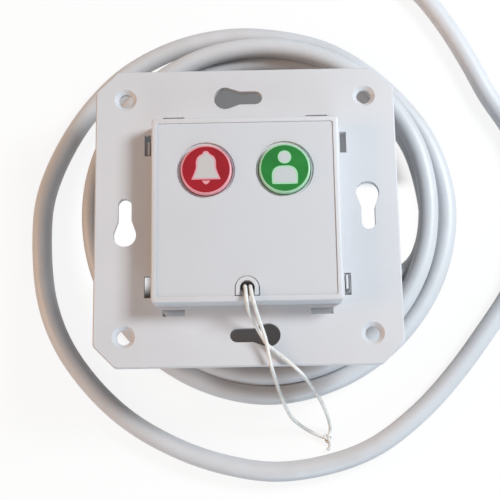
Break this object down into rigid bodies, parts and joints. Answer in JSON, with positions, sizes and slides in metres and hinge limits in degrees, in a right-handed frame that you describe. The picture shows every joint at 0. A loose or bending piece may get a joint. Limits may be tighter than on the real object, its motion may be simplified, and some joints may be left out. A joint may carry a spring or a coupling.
{
  "type": "nurse call wall module",
  "caption": "Square nurse call wall module: mounting plate with keyholes, raised unit with a red call button, a green presence button and a pull cord, and a coiled cable behind.",
  "frame": {"origin": "middle of the rear housing's back, on the table that the module lies on face up", "axes": "+Z out of the module's face, +Y towards its top, +X to its right seen from the front"},
  "size_m": [0.1377, 0.1579, 0.0341],
  "materials": {
    "white_plastic": "fine-grained white moulding",
    "overlay_film": "smooth satin film",
    "housing_plastic": "satin white moulding",
    "red_lens": "translucent red moulding",
    "green_lens": "translucent green moulding",
    "black_plastic": "satin black moulding",
    "led_lens": "clear lens over a pale die",
    "board_laminate": "green solder mask",
    "terminal_plastic": "satin green moulding",
    "natural_plastic": "natural acetal",
    "steel": "zinc plated",
    "gland_rubber": "soft grey-white rubber",
    "cable_jacket": "satin soft vinyl",
    "core_white": "satin vinyl",
    "core_brown": "satin vinyl",
    "core_green": "satin vinyl",
    "core_yellow": "satin vinyl",
    "cord_fibre": "twisted synthetic string"
  },
  "bodies": {
    "base": {"mounting_plate": "white_plastic", "front_housing": "white_plastic", "face_overlay": "overlay_film", "rear_housing": "housing_plastic", "cord_guide": "white_plastic", "call_switch": "black_plastic", "call_led": "led_lens", "presence_switch": "black_plastic", "presence_led": "led_lens", "circuit_board": "board_laminate", "controller_chip": "black_plastic", "terminal_block": "terminal_plastic", "pull_switch": "black_plastic", "pull_switch_plunger": "black_plastic", "housing_screw_1": "steel", "housing_screw_2": "steel", "board_screw_1": "steel", "board_screw_2": "steel", "cable_gland": "gland_rubber", "cable_start": "cable_jacket", "cable_coil": "cable_jacket", "cable_lead": "cable_jacket", "inner_core_white": "core_white", "bare_core_white": "core_white", "inner_core_brown": "core_brown", "bare_core_brown": "core_brown", "inner_core_green": "core_green", "bare_core_green": "core_green", "inner_core_yellow": "core_yellow", "bare_core_yellow": "core_yellow"},
    "call_button": {"call_button_cap": "red_lens", "call_button_legend": "red_lens", "call_plunger": "black_plastic"},
    "presence_button": {"presence_button_cap": "green_lens", "presence_button_legend": "green_lens", "presence_plunger": "black_plastic"},
    "pull": {"pull_slider": "natural_plastic", "pull_spring": "steel", "pull_strand_1": "cord_fibre", "pull_strand_2": "cord_fibre", "pull_knot": "cord_fibre"}
  },
  "joints": [
    {"name": "call_press", "type": "slide", "parent": "base", "child": "call_button", "axis": [0, 0, -1], "range_m": [0, 0.0005], "stiffness_N_per_m": 400},
    {"name": "presence_press", "type": "slide", "parent": "base", "child": "presence_button", "axis": [0, 0, -1], "range_m": [0, 0.0005], "stiffness_N_per_m": 400},
    {"name": "cord_pull", "type": "slide", "parent": "base", "child": "pull", "axis": [0, 0, 1], "range_m": [0, 0.0025], "stiffness_N_per_m": 400, "deforming": ["pull_spring"]}
  ]
}
